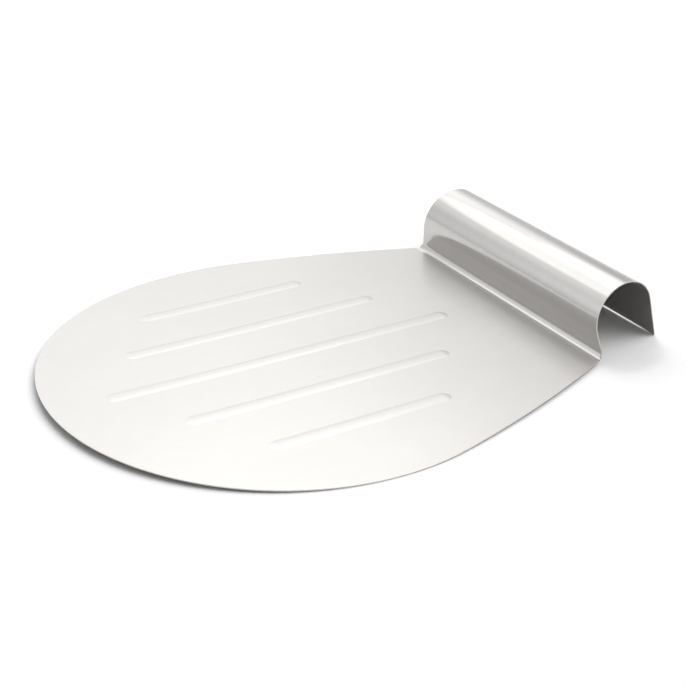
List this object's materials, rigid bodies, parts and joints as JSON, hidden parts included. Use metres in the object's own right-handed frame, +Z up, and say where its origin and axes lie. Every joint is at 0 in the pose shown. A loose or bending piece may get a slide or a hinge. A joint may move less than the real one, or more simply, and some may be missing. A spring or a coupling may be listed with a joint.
{
  "type": "cake lifter",
  "caption": "Round satin steel cake lifter with five pressed ribs, bent and rolled from one sheet into an open half-round handle.",
  "frame": {"origin": "on the surface that the lifter stands on, below the middle of its bounding box", "axes": "+X along the lifter's length, from the round front to the handle; +Y along the handle; +Z up"},
  "size_m": [0.3144, 0.255, 0.0391],
  "materials": {
    "sheet": "fine satin stainless steel"
  },
  "bodies": {
    "root": {"lifter_sheet": "sheet"}
  },
  "joints": []
}
